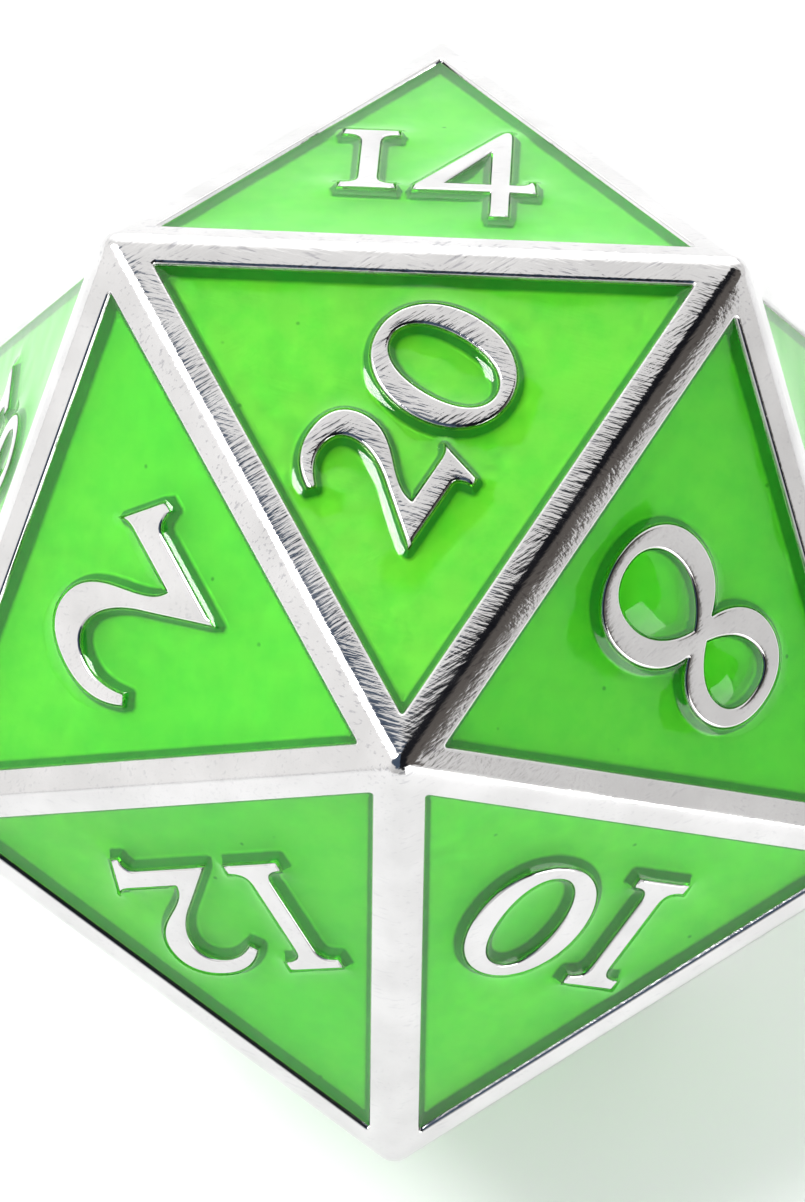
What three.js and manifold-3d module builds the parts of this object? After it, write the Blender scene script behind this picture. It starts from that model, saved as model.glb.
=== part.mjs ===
// Twenty-sided metal die with enamel faces. Millimetres, +Z up.
//
// The die lies on its face 1 with face 20 on top. The origin is the centre of
// the face it lies on, and a corner of face 20 points along -Y.
//
// One metal casting carries the core, the raised rims along every edge and the
// raised numerals. Each face is a shallow triangular pocket in that casting,
// filled with enamel around the numerals. The closed loops of 0, 4, 6, 8 and 9
// hold small enamel fills of their own.

import * as THREE from 'three';
import { ConvexGeometry } from 'three/addons/geometries/ConvexGeometry.js';
import { mergeVertices } from 'three/addons/utils/BufferGeometryUtils.js';
import Module from 'manifold-3d';

const wasm = await Module();
wasm.setup();

// ---- Driving dimensions -----------------------------------------------------

const FACE_TO_FACE = 22; // across two opposite faces: how high the die stands
const EDGE_ROUNDING = 0.5; // radius along the edges and at the corners
const ROUNDING_STEPS = 4; // flats across one rounded edge
const RIM_WIDTH = 0.65; // from the sharp edge line to the pocket wall
const POCKET_CORNER = 0.18; // how far the pocket corners are cut back
const POCKET_DEPTH = 0.5;
const ENAMEL_GAP = 0.02; // hairline between enamel and metal
const ENAMEL_FLOOR = ENAMEL_GAP - POCKET_DEPTH; // heights are measured from the rims
const ENAMEL_SINK = 0.08; // enamel surface below the rims

// An icosahedron's edge and corner distance follow from its face distance.
const GOLDEN = (1 + Math.sqrt(5)) / 2;
const INRADIUS = FACE_TO_FACE / 2;
const EDGE = (INRADIUS * 2 * Math.sqrt(3)) / (GOLDEN * GOLDEN);

// Numerals. Sizes are the height of a small figure such as 0, 1 or 2.
const SINGLE_HEIGHT = 0.28 * EDGE;
const DOUBLE_HEIGHT = 0.235 * EDGE;
const DOUBLE_CONDENSE = 0.86; // two figures on one face are drawn narrower
const CURVE_PIECE = 0.21; // straight pieces along a curve, in figure heights
const NUMERAL_RAISE = 0.01 * EDGE; // the numeral's middle above the face's centre
const MARK_RADIUS = 0.09; // dot that tells 6 from 9, in figure heights
const MARK_SPACE = 0.12;
const MARK_SIDES = 12;

// How far some numerals stand off the middle, in millimetres, and how much
// larger than the others they are.
const FITS = {
  10: { right: 0.2, up: -0.27, widen: 1.06, heighten: 1.06 },
  12: { right: 0.2, up: -0.25, widen: 1.13, heighten: 1 },
  14: { right: 0.18, up: 0, widen: 1, heighten: 1 },
  20: { right: 0.05, up: -0.15, widen: 1, heighten: 1 }
};
const PLAIN_FIT = { right: 0, up: 0, widen: 1, heighten: 1 };

// ---- Layout of the faces ----------------------------------------------------

// Corners in two rings of three near the top and two near the bottom, all at
// multiples of 60 degrees when looking down on the resting die.
const RING_TOP = { radius: EDGE / Math.sqrt(3), z: INRADIUS };
const RING_MIDDLE = { radius: (GOLDEN * EDGE) / Math.sqrt(3), z: INRADIUS / (GOLDEN * GOLDEN * GOLDEN) };

function ringCorner(ring, degrees, side) {
  const angle = THREE.MathUtils.degToRad(degrees);
  return new THREE.Vector3(
    ring.radius * Math.cos(angle),
    ring.radius * Math.sin(angle),
    side * ring.z
  );
}

const CORNERS = {
  front: ringCorner(RING_TOP, -90, 1),
  right: ringCorner(RING_TOP, 30, 1),
  left: ringCorner(RING_TOP, 150, 1),
  upperRight: ringCorner(RING_MIDDLE, -30, 1),
  upperBack: ringCorner(RING_MIDDLE, 90, 1),
  upperLeft: ringCorner(RING_MIDDLE, 210, 1),
  lowerFront: ringCorner(RING_MIDDLE, -90, -1),
  lowerRight: ringCorner(RING_MIDDLE, 30, -1),
  lowerLeft: ringCorner(RING_MIDDLE, 150, -1),
  footBack: ringCorner(RING_TOP, 90, -1),
  footRight: ringCorner(RING_TOP, -30, -1),
  footLeft: ringCorner(RING_TOP, 210, -1)
};

// The three corners of every face. The numeral stands upright towards the
// first one. Opposite faces add up to 21.
const FACES = {
  1: ['footRight', 'footBack', 'footLeft'],
  2: ['upperLeft', 'front', 'left'],
  3: ['footRight', 'upperRight', 'lowerRight'],
  4: ['upperBack', 'left', 'lowerLeft'],
  5: ['lowerLeft', 'footLeft', 'upperLeft'],
  6: ['right', 'lowerRight', 'upperBack'],
  7: ['lowerFront', 'footRight', 'footLeft'],
  8: ['upperRight', 'front', 'right'],
  9: ['upperBack', 'footBack', 'lowerRight'],
  10: ['lowerFront', 'front', 'upperRight'],
  11: ['upperBack', 'footBack', 'lowerLeft'],
  12: ['lowerFront', 'front', 'upperLeft'],
  13: ['lowerLeft', 'footBack', 'footLeft'],
  14: ['upperBack', 'left', 'right'],
  15: ['footLeft', 'upperLeft', 'lowerFront'],
  16: ['upperRight', 'right', 'lowerRight'],
  17: ['lowerFront', 'footRight', 'upperRight'],
  18: ['left', 'lowerLeft', 'upperLeft'],
  19: ['lowerRight', 'footBack', 'footRight'],
  20: ['left', 'front', 'right']
};

// Turns drawings made on a flat face (x right, y up, z out of the metal) into
// the die's frame.
function faceMatrix(number) {
  const corners = FACES[number].map((name) => CORNERS[name]);
  const centre = new THREE.Vector3();
  corners.forEach((corner) => centre.addScaledVector(corner, 1 / 3));
  const out = centre.clone().normalize();
  const up = corners[0].clone().sub(centre).normalize();
  const right = up.clone().cross(out);
  const matrix = new THREE.Matrix4().makeBasis(right, up, out);
  return matrix.setPosition(centre.x, centre.y, centre.z + INRADIUS);
}

// ---- Figures ----------------------------------------------------------------

// Serif figures of the old style: 0, 1 and 2 are small, 6 and 8 rise above
// them, 3, 4, 5, 7 and 9 hang below. One unit is the height of a small figure.
// An outline is a list of points: two numbers draw a straight line to a point,
// six numbers draw a curve with two handles to a point.

const ZERO = {
  width: 0.965,
  outline: [
    [0.482, -0.01],
    [0.76, -0.01, 0.965, 0.2, 0.965, 0.5],
    [0.965, 0.8, 0.76, 1.01, 0.482, 1.01],
    [0.205, 1.01, 0, 0.8, 0, 0.5],
    [0, 0.2, 0.205, -0.01, 0.482, -0.01]
  ],
  counters: {
    '': [
      [0.482, 0.1],
      [0.64, 0.1, 0.745, 0.26, 0.745, 0.5],
      [0.745, 0.74, 0.64, 0.9, 0.482, 0.9],
      [0.325, 0.9, 0.22, 0.74, 0.22, 0.5],
      [0.22, 0.26, 0.325, 0.1, 0.482, 0.1]
    ]
  }
};

const ONE = {
  width: 0.465,
  space: 0.13,
  outline: [
    [0, 0],
    [0.465, 0],
    [0.465, 0.085],
    [0.37, 0.085, 0.315, 0.11, 0.315, 0.2],
    [0.315, 0.8],
    [0.315, 0.89, 0.37, 0.915, 0.465, 0.915],
    [0.465, 1],
    [0, 1],
    [0, 0.915],
    [0.095, 0.915, 0.15, 0.89, 0.15, 0.8],
    [0.15, 0.2],
    [0.15, 0.11, 0.095, 0.085, 0, 0.085]
  ]
};

const TWO = {
  width: 0.875,
  outline: [
    [0, 0],
    [0.62, 0],
    [0.66, 0, 0.69, -0.03, 0.7, -0.115],
    [0.765, -0.115],
    [0.875, 0.2],
    [0.84, 0.17, 0.81, 0.16, 0.765, 0.16],
    [0.345, 0.16],
    [0.36, 0.24, 0.41, 0.29, 0.48, 0.355],
    [0.6, 0.46, 0.755, 0.56, 0.755, 0.735],
    [0.755, 0.91, 0.62, 1, 0.41, 1],
    [0.24, 1, 0.1, 0.93, 0, 0.79],
    [0.055, 0.745],
    [0.14, 0.82, 0.24, 0.87, 0.345, 0.865],
    [0.46, 0.86, 0.535, 0.81, 0.535, 0.7],
    [0.535, 0.58, 0.44, 0.45, 0.33, 0.345]
  ]
};

const THREE_FIGURE = {
  width: 0.79,
  outline: [
    [0, -0.33],
    [0.05, -0.375, 0.13, -0.4, 0.24, -0.4],
    [0.56, -0.4, 0.79, -0.2, 0.79, 0.09],
    [0.79, 0.27, 0.68, 0.41, 0.5, 0.455],
    [0.62, 0.52, 0.7, 0.62, 0.7, 0.74],
    [0.7, 0.9, 0.58, 1, 0.39, 1],
    [0.25, 1, 0.12, 0.94, 0.03, 0.8],
    [0.085, 0.755],
    [0.16, 0.83, 0.24, 0.87, 0.335, 0.87],
    [0.43, 0.87, 0.495, 0.81, 0.495, 0.7],
    [0.495, 0.57, 0.4, 0.48, 0.25, 0.455],
    [0.25, 0.37],
    [0.46, 0.36, 0.585, 0.25, 0.585, 0.06],
    [0.585, -0.16, 0.46, -0.305, 0.26, -0.305],
    [0.17, -0.305, 0.1, -0.29, 0.02, -0.235]
  ]
};

const FOUR = {
  width: 0.99,
  space: 0,
  outline: [
    [0, 0],
    [0.616, 0],
    [0.616, -0.41],
    [0.774, -0.41],
    [0.774, 0],
    [0.985, -0.01],
    [0.97, 0.19],
    [0.925, 0.19],
    [0.91, 0.15, 0.89, 0.13, 0.85, 0.13],
    [0.774, 0.13],
    [0.774, 0.98],
    [0.774, 1.05, 0.7, 1.06, 0.66, 0.99],
    [0, 0.08]
  ],
  counters: {
    '': [
      [0.608, 0.13],
      [0.608, 0.69],
      [0.25, 0.13]
    ]
  }
};

const FIVE = {
  width: 0.79,
  outline: [
    [0, -0.34],
    [0.06, -0.38, 0.13, -0.4, 0.23, -0.4],
    [0.56, -0.4, 0.79, -0.18, 0.79, 0.16],
    [0.79, 0.42, 0.64, 0.62, 0.4, 0.62],
    [0.34, 0.62, 0.27, 0.61, 0.205, 0.58],
    [0.245, 0.83],
    [0.68, 0.83],
    [0.735, 1.02],
    [0.71, 0.99, 0.69, 0.985, 0.65, 0.985],
    [0.16, 0.985],
    [0.105, 0.43],
    [0.18, 0.47, 0.25, 0.49, 0.33, 0.49],
    [0.49, 0.49, 0.585, 0.35, 0.585, 0.12],
    [0.585, -0.12, 0.46, -0.305, 0.25, -0.305],
    [0.17, -0.305, 0.09, -0.29, 0.02, -0.24]
  ]
};

const SIX = {
  width: 0.86,
  outline: [
    [0.43, -0.01],
    [0.68, -0.01, 0.86, 0.17, 0.86, 0.42],
    [0.86, 0.68, 0.7, 0.86, 0.5, 0.86],
    [0.4, 0.86, 0.31, 0.83, 0.235, 0.755],
    [0.3, 1, 0.52, 1.18, 0.82, 1.265],
    [0.8, 1.335],
    [0.42, 1.24, 0, 0.95, 0, 0.45],
    [0, 0.17, 0.16, -0.01, 0.43, -0.01]
  ],
  counters: {
    '': [
      [0.44, 0.085],
      [0.57, 0.085, 0.65, 0.2, 0.65, 0.4],
      [0.65, 0.62, 0.575, 0.765, 0.43, 0.765],
      [0.29, 0.765, 0.205, 0.62, 0.205, 0.43],
      [0.205, 0.22, 0.29, 0.085, 0.44, 0.085]
    ]
  }
};

const SEVEN = {
  width: 0.88,
  outline: [
    [0.17, -0.4],
    [0.36, -0.4],
    [0.88, 0.97],
    [0.88, 1],
    [0.05, 1],
    [0, 0.76],
    [0.065, 0.76],
    [0.09, 0.82, 0.13, 0.85, 0.2, 0.85],
    [0.66, 0.85]
  ]
};

const EIGHT = {
  width: 0.82,
  outline: [
    [0.41, -0.01],
    [0.65, -0.01, 0.82, 0.13, 0.82, 0.34],
    [0.82, 0.52, 0.72, 0.68, 0.555, 0.735],
    [0.69, 0.79, 0.76, 0.89, 0.76, 1.01],
    [0.76, 1.19, 0.62, 1.325, 0.4, 1.325],
    [0.19, 1.325, 0.045, 1.19, 0.045, 1.005],
    [0.045, 0.89, 0.12, 0.78, 0.265, 0.715],
    [0.1, 0.65, 0, 0.52, 0, 0.34],
    [0, 0.13, 0.17, -0.01, 0.41, -0.01]
  ],
  counters: {
    _lower: [
      [0.41, 0.085],
      [0.56, 0.085, 0.65, 0.18, 0.65, 0.33],
      [0.65, 0.47, 0.55, 0.6, 0.41, 0.665],
      [0.28, 0.6, 0.178, 0.47, 0.178, 0.33],
      [0.178, 0.18, 0.27, 0.085, 0.41, 0.085]
    ],
    _upper: [
      [0.4, 0.786],
      [0.53, 0.85, 0.615, 0.94, 0.615, 1.05],
      [0.615, 1.16, 0.53, 1.222, 0.405, 1.222],
      [0.29, 1.222, 0.215, 1.17, 0.215, 1.06],
      [0.215, 0.95, 0.28, 0.86, 0.4, 0.786]
    ]
  }
};

// A 9 is a 6 turned upside down and hung below the line.
function turned(outline) {
  const flip = (value, index) => (index % 2 === 0 ? SIX.width - value : 0.99 - value);
  return outline.map((step) => step.map(flip));
}

const NINE = {
  width: SIX.width,
  outline: turned(SIX.outline),
  counters: { '': turned(SIX.counters['']) }
};

const FIGURES = [ZERO, ONE, TWO, THREE_FIGURE, FOUR, FIVE, SIX, SEVEN, EIGHT, NINE];
const FIGURE_SPACE = 0.03; // clear space on each side of most figures

// ---- Flat outlines ----------------------------------------------------------

// Points along an outline, moved and scaled by the given placing.
function drawOutline(outline, place) {
  const path = new THREE.Path();
  outline.forEach((step, index) => {
    if (index === 0) {
      path.moveTo(...step);
    } else if (step.length === 2) {
      path.lineTo(...step);
    } else {
      path.bezierCurveTo(...step);
    }
  });
  const points = path.curves.flatMap((curve) => {
    const pieces = curve.isLineCurve ? 1 : Math.max(2, Math.round(curve.getLength() / CURVE_PIECE));
    return curve.getPoints(pieces).slice(0, -1);
  });
  const isClosed = path.currentPoint.distanceTo(points[0]) < 1e-6;
  if (!isClosed) {
    points.push(path.currentPoint);
  }
  return points.map(place);
}

// A dot beside the foot of a figure.
function drawMark(centreX, place) {
  const outline = new THREE.Path().absarc(centreX, MARK_RADIUS, MARK_RADIUS, 0, 2 * Math.PI);
  return outline.getPoints(MARK_SIDES / 2).slice(0, -1).map(place);
}

// The same closed outline, counter-clockwise and moved inwards by a distance.
// A negative distance moves it outwards.
function inset(points, distance) {
  const ring = THREE.ShapeUtils.isClockWise(points) ? [...points].reverse() : points;
  return ring.map((point, index) => {
    const before = ring[(index + ring.length - 1) % ring.length];
    const after = ring[(index + 1) % ring.length];
    const arriving = point.clone().sub(before).normalize();
    const leaving = after.clone().sub(point).normalize();
    const inward = new THREE.Vector2(-arriving.y - leaving.y, arriving.x + leaving.x);
    const reach = distance / (1 + arriving.dot(leaving));
    return point.clone().addScaledVector(inward, reach);
  });
}

// The pocket's triangle with its corners cut back a little.
function pocketOutline() {
  const cornerDistance = EDGE / Math.sqrt(3) - 2 * RIM_WIDTH;
  const corners = [90, 210, 330].map((degrees) => {
    const angle = THREE.MathUtils.degToRad(degrees);
    return new THREE.Vector2(Math.cos(angle), Math.sin(angle)).multiplyScalar(cornerDistance);
  });
  const side = corners[0].distanceTo(corners[1]);
  const cut = POCKET_CORNER / side;
  return corners.flatMap((corner, index) => {
    const before = corners[(index + 2) % 3];
    const after = corners[(index + 1) % 3];
    return [corner.clone().lerp(before, cut), corner.clone().lerp(after, cut)];
  });
}

// All raised outlines of one face's numeral and the loops inside them.
function numeral(number) {
  const digits = String(number).split('').map(Number);
  const single = digits.length === 1;
  const fit = FITS[number] ?? PLAIN_FIT;
  const size = single ? SINGLE_HEIGHT : DOUBLE_HEIGHT;
  const height = size * fit.heighten;
  const width = size * fit.widen * (single ? 1 : DOUBLE_CONDENSE);

  // Set the figures in a row and find the room they take.
  const row = [];
  let cursor = 0;
  digits.forEach((digit, index) => {
    const figure = FIGURES[digit];
    const space = figure.space ?? FIGURE_SPACE;
    if (index > 0) {
      cursor += space;
    }
    row.push({ figure, start: cursor });
    cursor += figure.width + space;
  });
  const last = row[row.length - 1];
  const textWidth = last.start + last.figure.width;
  const heights = row.flatMap(({ figure }) => figure.outline.map((step) => step[step.length - 1]));
  const middle = (Math.min(...heights) + Math.max(...heights)) / 2;

  const placeAt = (start) => (point) => new THREE.Vector2(
    (point.x + start - textWidth / 2) * width + fit.right,
    (point.y - middle) * height + NUMERAL_RAISE + fit.up
  );
  const raised = row.map(({ figure, start }) => drawOutline(figure.outline, placeAt(start)));
  if (number === 6 || number === 9) {
    raised.push(drawMark(textWidth + MARK_SPACE + MARK_RADIUS, placeAt(0)));
  }
  const loops = row.flatMap(({ figure, start }) => (
    Object.entries(figure.counters ?? {}).map(([suffix, outline]) => (
      { suffix, points: drawOutline(outline, placeAt(start)) }
    ))
  ));
  return { raised, loops };
}

// ---- Solids -----------------------------------------------------------------

// A straight-sided block of a flat outline, between two heights above the rims.
function block(outline, bottom, top) {
  const shape = new THREE.Shape(outline);
  const geometry = new THREE.ExtrudeGeometry(shape, { depth: top - bottom, bevelEnabled: false });
  return geometry.translate(0, 0, bottom);
}

function toManifold(geometry) {
  const bare = geometry.clone();
  bare.deleteAttribute('normal');
  bare.deleteAttribute('uv');
  const merged = mergeVertices(bare, 1e-5);
  return new wasm.Manifold(new wasm.Mesh({
    numProp: 3,
    vertProperties: new Float32Array(merged.attributes.position.array),
    triVerts: new Uint32Array(merged.index.array)
  }));
}

function toGeometry(solid) {
  const mesh = solid.getMesh();
  const geometry = new THREE.BufferGeometry();
  geometry.setAttribute('position', new THREE.BufferAttribute(mesh.vertProperties, 3));
  geometry.setIndex(new THREE.BufferAttribute(mesh.triVerts, 1));
  geometry.computeVertexNormals();
  return geometry;
}

// Unit directions that cover the rounding of one corner: the arcs between the
// normals of neighbouring faces, and smaller copies of them towards the tip.
function roundingDirections(corner) {
  const tip = corner.clone().normalize();
  const normals = Object.values(FACES)
    .map((names) => names.map((name) => CORNERS[name]))
    .filter((corners) => corners.includes(corner))
    .map(([a, b, c]) => a.clone().add(b).add(c).normalize());
  const directions = [tip];
  normals.forEach((normal, index) => {
    normals.slice(index + 1).forEach((other) => {
      if (normal.dot(other) < 0.5) {
        return; // these two faces meet at the corner only
      }
      for (let step = 0; step <= ROUNDING_STEPS; step += 1) {
        const along = normal.clone().lerp(other, step / ROUNDING_STEPS).normalize();
        directions.push(along, along.clone().lerp(tip, 0.4).normalize());
      }
    });
  });
  return directions;
}

// The whole die without its pockets: flat faces, rounded edges and corners.
function roundedBody() {
  const shrink = 1 - EDGE_ROUNDING / INRADIUS;
  const points = Object.values(CORNERS).flatMap((corner) => {
    const ballCentre = corner.clone().multiplyScalar(shrink);
    return roundingDirections(corner).map((direction) => (
      direction.clone().multiplyScalar(EDGE_ROUNDING).add(ballCentre)
    ));
  });
  return new ConvexGeometry(points).translate(0, 0, INRADIUS);
}

// The room in a pocket around the raised outlines, between two heights. A gap
// keeps it clear of the metal all round.
function pocketSpace(raised, gap, bottom, top) {
  const through = 1; // how far the outlines' cutters pass the block
  let solid = toManifold(block(inset(pocketOutline(), gap), bottom, top));
  raised.forEach((points) => {
    const cutter = block(inset(points, -gap), bottom - through, top + through);
    solid = solid.subtract(toManifold(cutter));
  });
  return toGeometry(solid);
}

// The rounded body with every face's pocket and every closed loop cut out.
function castingGeometry(numerals) {
  const above = 2 * RIM_WIDTH;
  let solid = toManifold(roundedBody());
  Object.entries(numerals).forEach(([number, { raised, loops }]) => {
    const cutters = [
      pocketSpace(raised, 0, -POCKET_DEPTH, above),
      ...loops.map(({ points }) => block(points, -POCKET_DEPTH, above))
    ];
    cutters.forEach((cutter) => {
      solid = solid.subtract(toManifold(cutter.applyMatrix4(faceMatrix(number))));
    });
  });
  return toGeometry(solid);
}

function enamelField(raised) {
  return pocketSpace(raised, ENAMEL_GAP, ENAMEL_FLOOR, -ENAMEL_SINK);
}

function enamelLoop(points) {
  return block(inset(points, ENAMEL_GAP), ENAMEL_FLOOR, -ENAMEL_SINK);
}

// ---- Materials and assembly -------------------------------------------------

const plating = new THREE.MeshStandardMaterial({ color: 0xd6d2cc, roughness: 0.3, metalness: 1 });
const enamel = new THREE.MeshStandardMaterial({ color: 0x4fd236, roughness: 0.15, metalness: 0 });

function namedMesh(name, geometry, material) {
  const mesh = new THREE.Mesh(geometry, material);
  mesh.name = name;
  return mesh;
}

// The enamel of one face, laid flat in a group that stands on that face.
function enamelGroup(number, { raised, loops }) {
  const group = new THREE.Group();
  group.applyMatrix4(faceMatrix(number));
  group.add(namedMesh(`enamel_field_${number}`, enamelField(raised), enamel));
  loops.forEach(({ suffix, points }) => {
    group.add(namedMesh(`enamel_loop_${number}${suffix}`, enamelLoop(points), enamel));
  });
  return group;
}

const numerals = Object.fromEntries(
  Object.keys(FACES).map((number) => [number, numeral(Number(number))])
);

const die = new THREE.Group();
die.name = 'polyhedral_die';
die.add(namedMesh('die_casting', castingGeometry(numerals), plating));
Object.entries(numerals).forEach(([number, drawing]) => {
  die.add(enamelGroup(number, drawing));
});

export default die;
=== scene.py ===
"""Looks of the twenty-sided metal die: plated casting, poured enamel, studio.

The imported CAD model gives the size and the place. Each face is drawn flat, in
its own plane, with the same rim width, pocket depth and numerals as the CAD
model, and becomes a height field: raised metal with softened edges, sloping
pocket walls and a cast floor, and above that floor the enamel, which climbs a
little where it meets metal. Lengths inside the drawing code are millimetres.
"""

import math

import bmesh
import bpy
import numpy as np
from mathutils import Matrix, Vector
from mathutils.geometry import delaunay_2d_cdt


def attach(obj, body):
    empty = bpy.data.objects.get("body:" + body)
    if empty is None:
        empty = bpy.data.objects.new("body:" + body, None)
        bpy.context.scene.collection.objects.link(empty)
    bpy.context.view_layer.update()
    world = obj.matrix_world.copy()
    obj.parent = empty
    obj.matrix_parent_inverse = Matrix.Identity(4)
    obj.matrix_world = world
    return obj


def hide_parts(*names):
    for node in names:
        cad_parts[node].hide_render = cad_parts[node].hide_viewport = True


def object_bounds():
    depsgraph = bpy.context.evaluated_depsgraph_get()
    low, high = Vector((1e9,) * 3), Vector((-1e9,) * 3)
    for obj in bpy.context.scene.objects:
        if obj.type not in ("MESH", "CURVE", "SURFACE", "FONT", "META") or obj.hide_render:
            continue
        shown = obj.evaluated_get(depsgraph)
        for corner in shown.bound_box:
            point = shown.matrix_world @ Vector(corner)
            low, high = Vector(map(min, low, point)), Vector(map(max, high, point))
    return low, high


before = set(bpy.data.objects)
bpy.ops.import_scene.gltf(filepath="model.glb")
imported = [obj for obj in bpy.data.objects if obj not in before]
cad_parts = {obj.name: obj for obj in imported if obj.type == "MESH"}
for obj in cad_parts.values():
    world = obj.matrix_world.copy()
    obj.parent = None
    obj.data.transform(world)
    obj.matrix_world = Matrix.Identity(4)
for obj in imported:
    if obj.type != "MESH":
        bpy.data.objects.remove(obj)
CAD_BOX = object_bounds()

# ---- Driving dimensions, in millimetres ---------------------------------------

MM = 0.001
FACE_TO_FACE = (CAD_BOX[1][2] - CAD_BOX[0][2]) / MM
INRADIUS = FACE_TO_FACE / 2
GOLDEN = (1 + math.sqrt(5)) / 2
EDGE = INRADIUS * 2 * math.sqrt(3) / GOLDEN**2

# Metal. The crown is the slight fall of a polished surface towards its edge.
EDGE_ROUNDING = 0.525
CROWN_TILT = math.radians(4)
CROWN_REACH = 0.34
CROWN_DROP = CROWN_REACH * math.tan(CROWN_TILT) / 2
FIGURE_CROWN_REACH = 0.24
FIGURE_CROWN_DROP = FIGURE_CROWN_REACH * math.tan(CROWN_TILT) / 2
RIM_WIDTH = 0.65
POCKET_CORNER = 0.09
POCKET_DEPTH = 0.5
RIM_LEAN = math.radians(68)
FIGURE_LEAN = math.radians(77)
TOP_SOFTENING = 0.09
FLOOR_FILLET = 0.12

# Enamel. It climbs at the metal, sags in the open and ripples faintly.
ENAMEL_LEVEL = -0.12
RIM_CLIMB = 0.03
RIM_CLIMB_REACH = 0.12
FIGURE_CLIMB = 0.1
FIGURE_CLIMB_REACH = 0.18
ENAMEL_SAG = 0.05
SAG_REACH = 0.8
RIPPLE = 0.006
RIPPLE_START = 0.4
RIPPLE_WAVES = 6
RIPPLE_PITCH = 2.2
BEDDING = 0.012

# The enamel in the loops of this face's figure stands up as drops.
DROP_NUMBER = 8
DROP_RISE = 0.2
DROP_REACH = 0.9

SINGLE_HEIGHT = 0.28 * EDGE
DOUBLE_HEIGHT = 0.235 * EDGE
DOUBLE_CONDENSE = 0.86
NUMERAL_RAISE = 0.01 * EDGE
MARK_RADIUS = 0.09
MARK_SPACE = 0.12
# How far some numerals stand off the middle, and how much larger they are.
FITS = {
    10: {"right": 0.2, "up": -0.27, "widen": 1.06, "heighten": 1.06},
    12: {"right": 0.2, "up": -0.25, "widen": 1.13, "heighten": 1},
    14: {"right": 0.18, "up": 0, "widen": 1, "heighten": 1},
    20: {"right": 0.05, "up": -0.15, "widen": 1, "heighten": 1},
}
PLAIN_FIT = {"right": 0, "up": 0, "widen": 1, "heighten": 1}
FIGURE_SPACE = 0.03

# Mesh spacing: along outlines, on the rings beside them, and in the open.
ROUNDING_STEPS = 6
SIDE_STEPS = 32
CURVE_STEP = 0.12
LINE_STEP = 0.3
RIM_RINGS = (-0.083, -0.05, -0.02, 0.04, 0.09, 0.15, 0.2, 0.26, 0.36)
FIGURE_RINGS = (-0.16, -0.087, -0.058, -0.025, 0.03, 0.078, 0.11, 0.15, 0.2, 0.3)
CLEARANCE = 0.12
GRID_STEP = 0.5
GRID_SCATTER = 0.06
GRID_MARGIN = 0.15
CROWN_RINGS = (0.25, 0.55, 0.9)
MERGE = 0.004
SIDE_BULGE = 0.0008
WELD = 0.001
SLOPE_STEP = 0.002
NEAREST = 6

# Painted warm light: how far a face's green leans to yellow, standing for the warmer light that falls on
# the top face.
WARM_LIGHT_PAINTED_ON = {20: 0.45}

# ---- Corners and faces, as in the CAD model ------------------------------------

RING_TOP = (EDGE / math.sqrt(3), INRADIUS)
RING_MIDDLE = (GOLDEN * EDGE / math.sqrt(3), INRADIUS / GOLDEN**3)


def ring_corner(ring, degrees, side):
    radius, height = ring
    angle = math.radians(degrees)
    return np.array((radius * math.cos(angle), radius * math.sin(angle), side * height))


CORNERS = {
    "front": ring_corner(RING_TOP, -90, 1),
    "right": ring_corner(RING_TOP, 30, 1),
    "left": ring_corner(RING_TOP, 150, 1),
    "upper_right": ring_corner(RING_MIDDLE, -30, 1),
    "upper_back": ring_corner(RING_MIDDLE, 90, 1),
    "upper_left": ring_corner(RING_MIDDLE, 210, 1),
    "lower_front": ring_corner(RING_MIDDLE, -90, -1),
    "lower_right": ring_corner(RING_MIDDLE, 30, -1),
    "lower_left": ring_corner(RING_MIDDLE, 150, -1),
    "foot_back": ring_corner(RING_TOP, 90, -1),
    "foot_right": ring_corner(RING_TOP, -30, -1),
    "foot_left": ring_corner(RING_TOP, 210, -1),
}

# The numeral stands upright towards the first corner of its face.
FACES = {
    1: ("foot_right", "foot_back", "foot_left"),
    2: ("upper_left", "front", "left"),
    3: ("foot_right", "upper_right", "lower_right"),
    4: ("upper_back", "left", "lower_left"),
    5: ("lower_left", "foot_left", "upper_left"),
    6: ("right", "lower_right", "upper_back"),
    7: ("lower_front", "foot_right", "foot_left"),
    8: ("upper_right", "front", "right"),
    9: ("upper_back", "foot_back", "lower_right"),
    10: ("lower_front", "front", "upper_right"),
    11: ("upper_back", "foot_back", "lower_left"),
    12: ("lower_front", "front", "upper_left"),
    13: ("lower_left", "foot_back", "foot_left"),
    14: ("upper_back", "left", "right"),
    15: ("foot_left", "upper_left", "lower_front"),
    16: ("upper_right", "right", "lower_right"),
    17: ("lower_front", "foot_right", "upper_right"),
    18: ("left", "lower_left", "upper_left"),
    19: ("lower_right", "foot_back", "foot_right"),
    20: ("left", "front", "right"),
}


class FacePlane:
    """A face's own axes: x to the right, y up, z out of the metal."""

    def __init__(self, number):
        self.names = FACES[number]
        corners = [CORNERS[name] for name in self.names]
        self.centre = sum(corners) / 3
        self.out = self.centre / np.linalg.norm(self.centre)
        up = corners[0] - self.centre
        self.up = up / np.linalg.norm(up)
        self.right = np.cross(self.up, self.out)

    def to_space(self, flat, height):
        """Points in metres in the die's frame from flat points and heights."""
        points = self.centre + flat[:, :1] * self.right + flat[:, 1:] * self.up
        points = points + np.asarray(height)[:, None] * self.out
        points[:, 2] += INRADIUS
        return points * MM

    def to_directions(self, slopes):
        """Unit normals in the die's frame of a surface with these slopes."""
        normals = self.out - slopes[:, :1] * self.right - slopes[:, 1:] * self.up
        return normals / np.linalg.norm(normals, axis=1)[:, None]


# ---- Figures --------------------------------------------------------------------

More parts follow.
